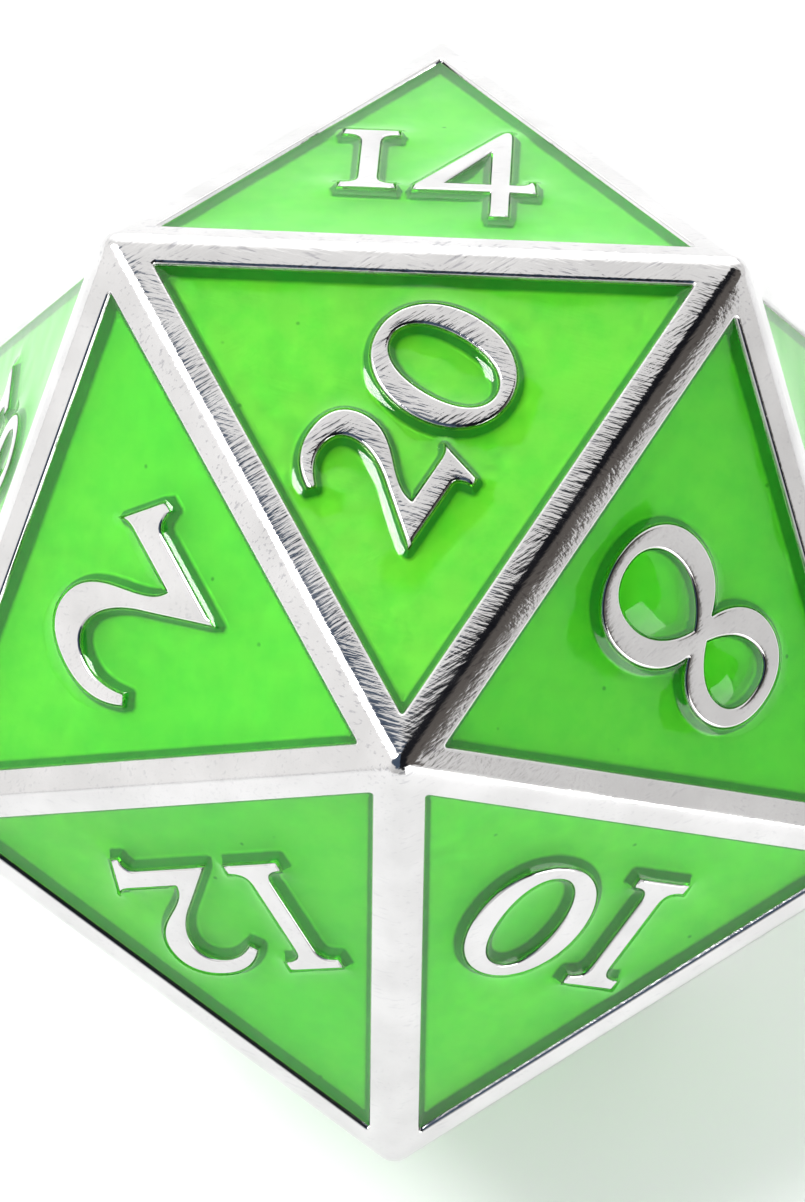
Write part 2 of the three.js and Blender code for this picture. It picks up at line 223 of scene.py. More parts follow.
# Two numbers draw a straight line to a point, six numbers a curve with two
# handles. One unit is the height of a small figure such as 0, 1 or 2.
ZERO = {
    "width": 0.965,
    "outline": [
        (0.482, -0.01),
        (0.76, -0.01, 0.965, 0.2, 0.965, 0.5),
        (0.965, 0.8, 0.76, 1.01, 0.482, 1.01),
        (0.205, 1.01, 0, 0.8, 0, 0.5),
        (0, 0.2, 0.205, -0.01, 0.482, -0.01),
    ],
    "loops": {
        "": [
            (0.482, 0.1),
            (0.64, 0.1, 0.745, 0.26, 0.745, 0.5),
            (0.745, 0.74, 0.64, 0.9, 0.482, 0.9),
            (0.325, 0.9, 0.22, 0.74, 0.22, 0.5),
            (0.22, 0.26, 0.325, 0.1, 0.482, 0.1),
        ]
    },
}

ONE = {
    "width": 0.465,
    "space": 0.13,
    "outline": [
        (0, 0),
        (0.465, 0),
        (0.465, 0.085),
        (0.37, 0.085, 0.315, 0.11, 0.315, 0.2),
        (0.315, 0.8),
        (0.315, 0.89, 0.37, 0.915, 0.465, 0.915),
        (0.465, 1),
        (0, 1),
        (0, 0.915),
        (0.095, 0.915, 0.15, 0.89, 0.15, 0.8),
        (0.15, 0.2),
        (0.15, 0.11, 0.095, 0.085, 0, 0.085),
    ],
}

TWO = {
    "width": 0.875,
    "outline": [
        (0, 0),
        (0.62, 0),
        (0.66, 0, 0.69, -0.03, 0.7, -0.115),
        (0.765, -0.115),
        (0.875, 0.2),
        (0.84, 0.17, 0.81, 0.16, 0.765, 0.16),
        (0.345, 0.16),
        (0.36, 0.24, 0.41, 0.29, 0.48, 0.355),
        (0.6, 0.46, 0.755, 0.56, 0.755, 0.735),
        (0.755, 0.91, 0.62, 1, 0.41, 1),
        (0.24, 1, 0.1, 0.93, 0, 0.79),
        (0.055, 0.745),
        (0.14, 0.82, 0.24, 0.87, 0.345, 0.865),
        (0.46, 0.86, 0.535, 0.81, 0.535, 0.7),
        (0.535, 0.58, 0.44, 0.45, 0.33, 0.345),
    ],
}

THREE = {
    "width": 0.79,
    "outline": [
        (0, -0.33),
        (0.05, -0.375, 0.13, -0.4, 0.24, -0.4),
        (0.56, -0.4, 0.79, -0.2, 0.79, 0.09),
        (0.79, 0.27, 0.68, 0.41, 0.5, 0.455),
        (0.62, 0.52, 0.7, 0.62, 0.7, 0.74),
        (0.7, 0.9, 0.58, 1, 0.39, 1),
        (0.25, 1, 0.12, 0.94, 0.03, 0.8),
        (0.085, 0.755),
        (0.16, 0.83, 0.24, 0.87, 0.335, 0.87),
        (0.43, 0.87, 0.495, 0.81, 0.495, 0.7),
        (0.495, 0.57, 0.4, 0.48, 0.25, 0.455),
        (0.25, 0.37),
        (0.46, 0.36, 0.585, 0.25, 0.585, 0.06),
        (0.585, -0.16, 0.46, -0.305, 0.26, -0.305),
        (0.17, -0.305, 0.1, -0.29, 0.02, -0.235),
    ],
}

FOUR = {
    "width": 0.99,
    "space": 0,
    "outline": [
        (0, 0),
        (0.616, 0),
        (0.616, -0.41),
        (0.774, -0.41),
        (0.774, 0),
        (0.985, -0.01),
        (0.97, 0.19),
        (0.925, 0.19),
        (0.91, 0.15, 0.89, 0.13, 0.85, 0.13),
        (0.774, 0.13),
        (0.774, 0.98),
        (0.774, 1.05, 0.7, 1.06, 0.66, 0.99),
        (0, 0.08),
    ],
    "loops": {"": [(0.608, 0.13), (0.608, 0.69), (0.25, 0.13)]},
}

FIVE = {
    "width": 0.79,
    "outline": [
        (0, -0.34),
        (0.06, -0.38, 0.13, -0.4, 0.23, -0.4),
        (0.56, -0.4, 0.79, -0.18, 0.79, 0.16),
        (0.79, 0.42, 0.64, 0.62, 0.4, 0.62),
        (0.34, 0.62, 0.27, 0.61, 0.205, 0.58),
        (0.245, 0.83),
        (0.68, 0.83),
        (0.735, 1.02),
        (0.71, 0.99, 0.69, 0.985, 0.65, 0.985),
        (0.16, 0.985),
        (0.105, 0.43),
        (0.18, 0.47, 0.25, 0.49, 0.33, 0.49),
        (0.49, 0.49, 0.585, 0.35, 0.585, 0.12),
        (0.585, -0.12, 0.46, -0.305, 0.25, -0.305),
        (0.17, -0.305, 0.09, -0.29, 0.02, -0.24),
    ],
}

SIX = {
    "width": 0.86,
    "outline": [
        (0.43, -0.01),
        (0.68, -0.01, 0.86, 0.17, 0.86, 0.42),
        (0.86, 0.68, 0.7, 0.86, 0.5, 0.86),
        (0.4, 0.86, 0.31, 0.83, 0.235, 0.755),
        (0.3, 1, 0.52, 1.18, 0.82, 1.265),
        (0.8, 1.335),
        (0.42, 1.24, 0, 0.95, 0, 0.45),
        (0, 0.17, 0.16, -0.01, 0.43, -0.01),
    ],
    "loops": {
        "": [
            (0.44, 0.085),
            (0.57, 0.085, 0.65, 0.2, 0.65, 0.4),
            (0.65, 0.62, 0.575, 0.765, 0.43, 0.765),
            (0.29, 0.765, 0.205, 0.62, 0.205, 0.43),
            (0.205, 0.22, 0.29, 0.085, 0.44, 0.085),
        ]
    },
}

SEVEN = {
    "width": 0.88,
    "outline": [
        (0.17, -0.4),
        (0.36, -0.4),
        (0.88, 0.97),
        (0.88, 1),
        (0.05, 1),
        (0, 0.76),
        (0.065, 0.76),
        (0.09, 0.82, 0.13, 0.85, 0.2, 0.85),
        (0.66, 0.85),
    ],
}

EIGHT = {
    "width": 0.82,
    "outline": [
        (0.41, -0.01),
        (0.65, -0.01, 0.82, 0.13, 0.82, 0.34),
        (0.82, 0.52, 0.72, 0.68, 0.555, 0.735),
        (0.69, 0.79, 0.76, 0.89, 0.76, 1.01),
        (0.76, 1.19, 0.62, 1.325, 0.4, 1.325),
        (0.19, 1.325, 0.045, 1.19, 0.045, 1.005),
        (0.045, 0.89, 0.12, 0.78, 0.265, 0.715),
        (0.1, 0.65, 0, 0.52, 0, 0.34),
        (0, 0.13, 0.17, -0.01, 0.41, -0.01),
    ],
    "loops": {
        "_lower": [
            (0.41, 0.085),
            (0.56, 0.085, 0.65, 0.18, 0.65, 0.33),
            (0.65, 0.47, 0.55, 0.6, 0.41, 0.665),
            (0.28, 0.6, 0.178, 0.47, 0.178, 0.33),
            (0.178, 0.18, 0.27, 0.085, 0.41, 0.085),
        ],
        "_upper": [
            (0.4, 0.786),
            (0.53, 0.85, 0.615, 0.94, 0.615, 1.05),
            (0.615, 1.16, 0.53, 1.222, 0.405, 1.222),
            (0.29, 1.222, 0.215, 1.17, 0.215, 1.06),
            (0.215, 0.95, 0.28, 0.86, 0.4, 0.786),
        ],
    },
}


def turned(outline):
    """A 9 is a 6 turned upside down and hung below the line."""
    flips = (SIX["width"], 0.99)
    return [tuple(flips[i % 2] - value for i, value in enumerate(step)) for step in outline]


NINE = {
    "width": SIX["width"],
    "outline": turned(SIX["outline"]),
    "loops": {"": turned(SIX["loops"][""])},
}

FIGURES = (ZERO, ONE, TWO, THREE, FOUR, FIVE, SIX, SEVEN, EIGHT, NINE)

# ---- Flat outlines ----------------------------------------------------------------


def draw(outline, place):
    """Points along a closed outline, after placing it on the face."""
    steps = [place(np.array(step).reshape(-1, 2)) for step in outline]
    points = []
    start = steps[0][-1]
    for step in steps[1:] + steps[:1]:
        end = step[-1]
        if len(step) == 3:
            a, b = step[:2]
            legs = (a - start, b - a, end - b)
            length = sum(np.linalg.norm(leg) for leg in legs)
            share = spread(max(4, round(length / CURVE_STEP)))
            rest = 1 - share
            points.append(
                start * rest**3 + 3 * a * share * rest**2 + 3 * b * share**2 * rest + end * share**3
            )
        else:
            length = np.linalg.norm(end - start)
            share = spread(math.ceil(length / LINE_STEP))
            points.append(start * (1 - share) + end * share)
        start = end
    return np.concatenate(points)


def spread(count):
    """Even shares from 0 up to, but without, 1, as a column."""
    return np.arange(count)[:, None] / max(1, count)


def circle(centre, radius):
    count = round(2 * math.pi * radius / CURVE_STEP)
    angles = np.arange(count) * 2 * math.pi / count
    return centre + radius * np.stack((np.cos(angles), np.sin(angles)), axis=1)


def triangle(corner_distance, corner_cut):
    """A pocket-shaped triangle, one corner up, its corners cut by a small arc."""
    angles = np.radians((90, 210, 330))
    corners = corner_distance * np.stack((np.cos(angles), np.sin(angles)), axis=1)
    cut = corner_cut / np.linalg.norm(corners[0] - corners[1])
    outline = []
    for index, corner in enumerate(corners):
        arrive = corner + (corners[index - 1] - corner) * cut
        leave = corner + (corners[(index + 1) % 3] - corner) * cut
        outline.append(tuple(arrive))
        outline.append((*(arrive * 0.4 + corner * 0.6), *(leave * 0.4 + corner * 0.6), *leave))
    return draw(outline, lambda points: points)


def numeral(number):
    """The raised outlines of a face's numeral and the named loops inside them."""
    digits = [int(digit) for digit in str(number)]
    fit = FITS.get(number, PLAIN_FIT)
    size = SINGLE_HEIGHT if len(digits) == 1 else DOUBLE_HEIGHT
    height = size * fit["heighten"]
    width = size * fit["widen"] * (1 if len(digits) == 1 else DOUBLE_CONDENSE)
    seat = (fit["right"], NUMERAL_RAISE + fit["up"])

    starts = []
    cursor = 0
    for index, digit in enumerate(digits):
        space = FIGURES[digit].get("space", FIGURE_SPACE)
        cursor += space if index else 0
        starts.append(cursor)
        cursor += FIGURES[digit]["width"] + space
    text_width = starts[-1] + FIGURES[digits[-1]]["width"]
    levels = [step[-1] for digit in digits for step in FIGURES[digit]["outline"]]
    middle = (min(levels) + max(levels)) / 2

    def place_at(start):
        shift = np.array((start - text_width / 2, -middle))
        return lambda points: (points + shift) * (width, height) + seat

    raised = []
    loops = {}
    for start, digit in zip(starts, digits):
        figure = FIGURES[digit]
        raised.append(draw(figure["outline"], place_at(start)))
        for suffix, outline in figure.get("loops", {}).items():
            loops[suffix] = draw(outline, place_at(start))
    if number in (6, 9):
        centre = np.array(((text_width + MARK_SPACE + MARK_RADIUS, MARK_RADIUS),))
        raised.append(circle(place_at(0)(centre), MARK_RADIUS * height))
    return raised, loops


# ---- Distances on a face -------------------------------------------------------------


class Walls:
    """All the closed outlines of a face, for asking how far away and on which side."""

    def __init__(self, *outlines):
        self.starts = np.concatenate(outlines)
        self.ends = np.concatenate([np.roll(outline, -1, axis=0) for outline in outlines])

    def enclose(self, points):
        """Which points lie inside an odd number of the outlines."""
        x, y = points[:, :1], points[:, 1:]
        starts, ends = self.starts, self.ends
        crosses = (starts[:, 1] > y) != (ends[:, 1] > y)
        rise = ends[:, 1] - starts[:, 1]
        slope = (ends[:, 0] - starts[:, 0]) / np.where(rise == 0, 1, rise)
        beyond = x < starts[:, 0] + (y - starts[:, 1]) * slope
        return (crosses & beyond).sum(axis=1) % 2 == 1

    def to_segment(self, points, index):
        """The distance from each point to its own outline segment."""
        along = self.ends[index] - self.starts[index]
        offset = points - self.starts[index]
        share = np.clip((offset * along).sum(axis=1) / (along * along).sum(axis=1), 0, 1)
        return np.linalg.norm(offset - share[:, None] * along, axis=1)

    def distance(self, points):
        """The distance to the nearest outline, by way of its nearest segments' middles."""
        middles = (self.starts + self.ends) / 2
        apart = (middles * middles).sum(axis=1) - 2 * points @ middles.T
        nearest = apart.argpartition(NEAREST - 1, axis=1)[:, :NEAREST]
        return np.min([self.to_segment(points, index) for index in nearest.T], axis=0)

    def reach(self, points):
        """The distance to the nearest outline, negative on raised metal."""
        return np.where(self.enclose(points), 1.0, -1.0) * self.distance(points)


# ---- Heights -------------------------------------------------------------------------


def wall_height(reach, lean):
    """Flat metal, a softened edge, a leaning wall, a fillet and the pocket's floor.

    The reach is the distance from the wall's upper edge, negative on the metal.
    """
    lean_sine, lean_cosine = math.sin(lean), math.cos(lean)
    wall_start = -TOP_SOFTENING * (1 - lean_cosine)
    wall_end = -POCKET_DEPTH + FLOOR_FILLET * (1 - lean_cosine)
    wall_run = (wall_start - wall_end) / math.tan(lean)
    floor_start = wall_run + FLOOR_FILLET * lean_sine

    top = np.clip(reach + TOP_SOFTENING * lean_sine, 0, TOP_SOFTENING * lean_sine)
    height = np.sqrt(TOP_SOFTENING**2 - top**2) - TOP_SOFTENING
    wall = np.clip(reach, 0, wall_run)
    height = height - wall * math.tan(lean)
    foot = np.clip(floor_start - reach, 0, FLOOR_FILLET * lean_sine)
    fillet = -POCKET_DEPTH + FLOOR_FILLET - np.sqrt(FLOOR_FILLET**2 - foot**2)
    return np.where(reach > wall_run, fillet, height)


def worn(drop, distance, reach):
    """How much metal is polished away near an edge."""
    return drop * (1 - np.clip(distance / reach, 0, 1)) ** 2


def enamel_height(rim, figure, ripple):
    """The poured surface: it climbs rims and figures and sags a little in the open."""
    rim, figure = np.maximum(rim, 0), np.maximum(figure, 0)
    away = np.minimum(rim, figure)
    climb = RIM_CLIMB * np.exp(-rim / RIM_CLIMB_REACH)
    climb += FIGURE_CLIMB * np.exp(-figure / FIGURE_CLIMB_REACH)
    sag = ENAMEL_SAG * (1 - np.exp(-away / SAG_REACH))
    return ENAMEL_LEVEL + climb - sag + RIPPLE * np.clip(away / RIPPLE_START, 0, 1) * ripple


def slopes(height_at, flat, level):
    """How steeply a height changes to the right and upwards at flat points."""
    moves = ((SLOPE_STEP, 0), (0, SLOPE_STEP))
    rises = [height_at(flat + move) - level for move in moves]
    return np.stack(rises, axis=1) / SLOPE_STEP


# ---- One face as a triangle mesh ------------------------------------------------------


def ring_points(outline, offset):
    """Points beside an outline: fanned out around its sharp corners, mitred inside them."""
    before = outline - np.roll(outline, 1, axis=0)
    heading = np.arctan2(before[:, 1], before[:, 0])
    turn = (np.roll(heading, -1) - heading + math.pi) % (2 * math.pi) - math.pi
    outer = turn * offset > 0
    fans = np.where(outer, 1 + (np.abs(turn) / math.radians(25)).astype(int), 1)
    first = np.repeat(np.cumsum(fans) - fans, fans)
    share = (np.arange(fans.sum()) - first + 0.5) / np.repeat(fans, fans)
    side = np.repeat(heading, fans) + np.repeat(turn, fans) * share - math.pi / 2
    mitre = np.repeat(np.where(outer, 1, 1 / np.maximum(np.cos(turn / 2), 0.2)), fans)
    away = np.stack((np.cos(side), np.sin(side)), axis=1) * mitre[:, None]
    return np.repeat(outline, fans, axis=0) + offset * away


def flat_border():
    """The outline of the flat part of a face, with points along its sides.

    The sides bulge by less than a thousandth so that no three points line up.
    """
    corner_distance = EDGE / math.sqrt(3) * (1 - EDGE_ROUNDING / INRADIUS)
    angles = np.radians((90, 210, 330))
    corners = corner_distance * np.stack((np.cos(angles), np.sin(angles)), axis=1)
    share = spread(SIDE_STEPS)
    sides = []
    for a, b in zip(corners, np.roll(corners, -1, axis=0)):
        outward = (a + b) / np.linalg.norm(a + b)
        sides.append(a * (1 - share) + b * share + SIDE_BULGE * 4 * share * (1 - share) * outward)
    return np.concatenate(sides)


def scattered_points(border, walls):
    """An even scatter of points over the open parts of the face."""
    span = np.abs(border).max()
    rows = np.arange(-span, span, GRID_STEP * math.sqrt(3) / 2)
    columns = np.arange(-span, span, GRID_STEP)
    grid = np.array([(x + GRID_STEP / 2 * (i % 2), y) for i, y in enumerate(rows) for x in columns])
    rng = np.random.default_rng(20)
    grid = grid + rng.uniform(-GRID_SCATTER, GRID_SCATTER, grid.shape)
    edge = Walls(border)
    grid = grid[edge.enclose(grid) & (edge.distance(grid) > GRID_MARGIN)]
    reach = walls.reach(grid)
    return grid[(reach > RIM_RINGS[-1] + CLEARANCE) | (reach < FIGURE_RINGS[0] - CLEARANCE)]


class Drawing:
    """One face as flat triangles, with its outlines among the triangles' sides."""

    def __init__(self, number):
        self.number = number
        raised, self.loops = numeral(number)
        pocket = triangle(EDGE / math.sqrt(3) - 2 * RIM_WIDTH, POCKET_CORNER)
        figures = [*raised, *self.loops.values()]
        border = flat_border()
        self.walls = Walls(pocket, *figures)
        self.rim = Walls(pocket)
        self.figures = Walls(*figures)
        self.edge = Walls(border)

        self.points = []
        self.lines = []
        for outline in (border, pocket, *figures):
            self.add_line(outline, np.ones(len(outline), bool))
        for share in CROWN_RINGS:
            ring = ring_points(border, -share * CROWN_REACH)
            self.add_line(ring, self.walls.reach(ring) < RIM_RINGS[0] - 0.02)
        for offset in RIM_RINGS:
            self.add_ring(pocket, offset)
        for outline in figures:
            for offset in FIGURE_RINGS:
                self.add_ring(outline, offset)
        self.points.append(scattered_points(border, self.walls))

        flat = [Vector(point) for point in np.concatenate(self.points)]
        corners, _, faces, *_ = delaunay_2d_cdt(flat, self.lines, [], 0, MERGE)
        self.flat = np.array(corners)
        self.triangles = np.array(faces)
        self.metal = self.metal_at(self.flat)
        rng = np.random.default_rng(number)
        self.waves = rng.normal(0, RIPPLE_PITCH, (RIPPLE_WAVES, 2))

    def metal_at(self, flat):
        inside = self.figures.reach(flat)
        rim = wall_height(self.rim.reach(flat), RIM_LEAN)
        rim = rim - worn(CROWN_DROP, self.edge.reach(flat), CROWN_REACH)
        figures = wall_height(-inside, FIGURE_LEAN)
        figures = figures - worn(FIGURE_CROWN_DROP, inside, FIGURE_CROWN_REACH)
        return np.maximum(rim, figures)

    def enamel_at(self, flat):
        phases = flat @ self.waves.T + np.arange(RIPPLE_WAVES)
        ripple = np.sin(phases).sum(axis=1) / (RIPPLE_WAVES / 2)
        level = enamel_height(self.rim.reach(flat), -self.figures.reach(flat), ripple)
        if self.number != DROP_NUMBER:
            return level
        drops = Walls(*self.loops.values()).reach(flat)
        rise = 1 - (1 - np.clip(drops / DROP_REACH, 0, 1)) ** 2
        return np.where(drops > 0, ENAMEL_LEVEL + FIGURE_CLIMB + DROP_RISE * rise, level)

    def add_line(self, points, kept):
        """Adds the kept points of a closed line, joined where they follow each other."""
        first = sum(len(group) for group in self.points)
        index = first + np.cumsum(kept) - 1
        self.lines += [
            (index[i - 1], index[i]) for i in range(len(points)) if kept[i] and kept[i - 1]
        ]
        self.points.append(points[kept])

    def add_ring(self, outline, offset):
        """A line beside an outline, on the pocket's side when the offset is positive."""
        for signed in (offset, -offset):
            ring = ring_points(outline, signed)
            fits = np.abs(self.walls.reach(ring) - offset) < 0.03 * abs(offset) + 0.002
            fits &= self.edge.enclose(ring)
            if fits.sum() > len(ring) / 4:
                self.add_line(ring, fits)


# ---- Meshes ------------------------------------------------------------------------------


def mesh_object(name, points, faces):
    mesh = bpy.data.meshes.new(name)
    mesh.from_pydata([tuple(point) for point in points], [], [tuple(face) for face in faces])
    piece = bpy.data.objects.new(name, mesh)
    bpy.context.collection.objects.link(piece)
    mesh.shade_smooth()
    return piece


def between(a, b, share):
    """Unit directions part of the way from one to another."""
    mixed = a * (1 - share) + b * share
    return mixed / np.linalg.norm(mixed, axis=-1, keepdims=True)


class Rounding:
    """The rounded edges and corners that join the flat faces."""

    def __init__(self, planes):
        self.planes = planes
        self.shrink = 1 - EDGE_ROUNDING / INRADIUS
        self.points = []
        self.normals = []
        self.faces = []

    def add_grid(self, rows, normals, wrap):
        """Quads between rows of points; wrap joins each row's end to its start."""
        first = len(self.points)
        width = len(rows[0])
        for row, directions in zip(rows, normals):
            self.points.extend(row)
            self.normals.extend(directions)
        for r in range(len(rows) - 1):
            for c in range(width if wrap else width - 1):
                here, there = first + r * width, first + (r + 1) * width
                after = (c + 1) % width
                self.faces.append((here + c, here + after, there + after, there + c))

    def place(self, corner, offset):
        """A point in metres, given from the centre of the rounding at a corner."""
        return (corner * self.shrink + offset + (0, 0, INRADIUS)) * MM

    def arc(self, one, other):
        """The rounding's section from one face to another, and its normals.

        It leaves each face with the tilt and the drop of the worn border.
        """
        half = math.acos(one @ other) / 2
        middle = between(one, other, 0.5)
        start = EDGE_ROUNDING - CROWN_DROP
        radius = start * math.sin(half) / math.sin(half - CROWN_TILT)
        centre = middle * (start * math.cos(half) - radius * math.cos(half - CROWN_TILT))
        across = between(one, -other, 0.5)
        turns = (half - CROWN_TILT) * np.linspace(1, -1, ROUNDING_STEPS + 1)[:, None]
        normals = middle * np.cos(turns) + across * np.sin(turns)
        return centre + radius * normals, normals

    def add_edge(self, a, b, one, other):
        """The strip over the edge between two corners, from one face to the other."""
        arc, normals = self.arc(one, other)
        shares = np.arange(SIDE_STEPS + 1) / SIDE_STEPS
        rows = [self.place(a + (b - a) * share, arc) for share in shares]
        self.add_grid(rows, [normals] * len(rows), wrap=False)

    def add_corner(self, corner, normals):
        """The cap over a corner, in rings from the five arcs to the tip."""
        tip = corner / np.linalg.norm(corner)
        arcs = [self.arc(one, other) for one, other in zip(normals, normals[1:] + normals[:1])]
        rim = np.concatenate([arc[:-1] for arc, _ in arcs])
        facing = np.concatenate([directions[:-1] for _, directions in arcs])
        radii = np.linalg.norm(rim, axis=1)
        shares = np.linspace(0, 0.96, ROUNDING_STEPS)
        reaches = [radii * (1 - share) + radii.min() * share for share in shares]
        rows = [
            self.place(corner, between(rim / radii[:, None], tip, share) * reach[:, None])
            for share, reach in zip(shares, reaches)
        ]
        self.add_grid(rows, [between(facing, tip, share) for share in shares], wrap=True)
        self.faces.append(tuple(range(len(self.points) - len(rim), len(self.points))))

    def build(self):
        edges = {}
        for plane in self.planes.values():
            for pair in zip(plane.names, plane.names[1:] + plane.names[:1]):
                edges.setdefault(frozenset(pair), []).append(plane.out)
        for pair, (one, other) in edges.items():
            a, b = (CORNERS[name] for name in sorted(pair))
            self.add_edge(a, b, one, other)
        for name, corner in CORNERS.items():
            around = [plane.out for plane in self.planes.values() if name in plane.names]
            tip = corner / np.linalg.norm(corner)
            across = np.cross(tip, around[0])
            over = np.cross(across, tip)
            around.sort(key=lambda out: math.atan2(out @ across, out @ over))
            self.add_corner(corner, around)


def weld(piece):
    """Joins the faces' borders to the rounding and turns every side outwards."""
    work = bmesh.new()
    work.from_mesh(piece.data)
    bmesh.ops.remove_doubles(work, verts=work.verts, dist=WELD * MM)
    bmesh.ops.recalc_face_normals(work, faces=work.faces)
    work.to_mesh(piece.data)
    work.free()
    piece.data.shade_smooth()


def store(piece, name, kind, field, values):
    layer = piece.data.attributes.new(name, kind, "POINT")
    layer.data.foreach_set(field, np.array(values, dtype=np.float32).ravel())


def set_normals(piece, normals):
    """Gives every vertex the true normal of the surface that it samples."""
    piece.data.normals_split_custom_set_from_vertices(normals.tolist())


def make_casting(planes, drawings):
    rounding = Rounding(planes)
    rounding.build()
    points, faces, normals = rounding.points, rounding.faces, rounding.normals
    depth = [0.0] * len(points)
    for number, plane in planes.items():
        drawing = drawings[number]
        first = len(points)
        points.extend(plane.to_space(drawing.flat, drawing.metal))
        normals.extend(plane.to_directions(slopes(drawing.metal_at, drawing.flat, drawing.metal)))
        depth.extend(np.clip(-drawing.metal / POCKET_DEPTH, 0, 1))
        faces.extend(drawing.triangles + first)
    piece = mesh_object("casting", points, faces)
    store(piece, "depth", "FLOAT", "value", depth)
    store(piece, "facing", "FLOAT_VECTOR", "vector", normals)
    weld(piece)
    facing = np.empty(len(piece.data.vertices) * 3, dtype=np.float32)
    piece.data.attributes["facing"].data.foreach_get("vector", facing)
    piece.data.attributes.remove(piece.data.attributes["facing"])
    set_normals(piece, facing.reshape(-1, 3))
    return piece


def thick_sheet(name, top, bottom, normals, triangles):
    """A solid between two surfaces over the same triangles."""
    used = np.unique(triangles)
    renumber = np.zeros(used[-1] + 1, int)
    renumber[used] = np.arange(len(used))
    upper = renumber[triangles]
    count = len(used)
    directed = {(a, b) for face in upper.tolist() for a, b in zip(face, face[1:] + face[:1])}
    walls = [(b, a, a + count, b + count) for a, b in directed if (b, a) not in directed]
    lower = upper[:, ::-1] + count
    points = np.concatenate((top[used], bottom[used]))
    piece = mesh_object(name, points, upper.tolist() + lower.tolist() + sorted(walls))
    set_normals(piece, np.concatenate((normals[used], -normals[used])))
    return piece


def make_enamel(number, plane, drawing):
    """The enamel pieces of one face, as {CAD node name: piece}."""
    flat, triangles = drawing.flat, drawing.triangles
    middles = flat[triangles].mean(axis=1)
    filled = drawing.walls.enclose(middles)
    level = drawing.enamel_at(flat)
    surface = plane.to_space(flat, level)
    underside = plane.to_space(flat, drawing.metal - BEDDING)
    normals = plane.to_directions(slopes(drawing.enamel_at, flat, level))

    pieces = {}
    in_loop = np.zeros(len(triangles), bool)
    for suffix, loop in drawing.loops.items():
        here = filled & Walls(loop).enclose(middles)
        in_loop |= here
        name = f"{number}{suffix}"
        pieces[f"enamel_loop_{name}"] = thick_sheet(
            f"enamel_pool_{name}", surface, underside, normals, triangles[here]
        )
    pieces[f"enamel_field_{number}"] = thick_sheet(
        f"enamel_pour_{number}", surface, underside, normals, triangles[filled & ~in_loop]
    )
    for piece in pieces.values():
        # Each piece carries its face's share of painted warm light.
        store(piece, "warm_light_share", "FLOAT", "value", [WARM_LIGHT_PAINTED_ON.get(number, 0.0)] * len(piece.data.vertices))
    return pieces


# ---- Materials -----------------------------------------------------------------------------


class NodeTree:
    """Short calls for building one material's or the world's nodes."""

    def __init__(self, owner):
        owner.use_nodes = True
        self.tree = owner.node_tree
        self.tree.nodes.clear()

    def add(self, kind, inputs=None, **settings):
        node = self.tree.nodes.new(kind)
        for name, value in settings.items():
            setattr(node, name, value)
        for name, value in (inputs or {}).items():
            if isinstance(value, bpy.types.NodeSocket):
                self.tree.links.new(value, node.inputs[name])
            else:
                node.inputs[name].default_value = value
        return node

    def noise(self, vector, scale, detail=3, roughness=0.5):
        inputs = {"Vector": vector, "Scale": scale, "Detail": detail, "Roughness": roughness}
        return self.add("ShaderNodeTexNoise", inputs).outputs["Fac"]

    def remap(self, value, low, high, to_low, to_high):
        inputs = {"Value": value, "From Min": low, "From Max": high, "To Min": to_low, "To Max": to_high}
        return self.add("ShaderNodeMapRange", inputs).outputs["Result"]

    def math(self, operation, a, b):
        return self.add("ShaderNodeMath", {0: a, 1: b}, operation=operation).outputs[0]

    def blend(self, share, a, b):
        inputs = {"Value": share, "To Min": a, "To Max": b}
        return self.add("ShaderNodeMapRange", inputs).outputs["Result"]

    def mix(self, share, a, b):
        node = self.add("ShaderNodeMix", {"Factor": share}, data_type="RGBA")
        for name, value in (("A", a), ("B", b)):
            socket = next(s for s in node.inputs if s.name == name and s.type == "RGBA")
            if isinstance(value, bpy.types.NodeSocket):
                self.tree.links.new(value, socket)
            else:
                socket.default_value = value
        return next(s for s in node.outputs if s.type == "RGBA")


CLOUDED_METAL = (0.56, 0.555, 0.55, 1)
CLEAN_METAL = (0.64, 0.635, 0.63, 1)
SCRATCHED_METAL = (0.25, 0.25, 0.28, 1)
# Painted shade: the pocket walls under the enamel are coloured dark teal, so that the enamel shows dark
# bands along its walls.
WALL_PAINTED_SHADE = (0.13, 0.42, 0.6, 1)
CAST_FLOOR = (0.92, 0.92, 0.92, 1)
STROKE_SCALE = (1900, 12000, 12000)


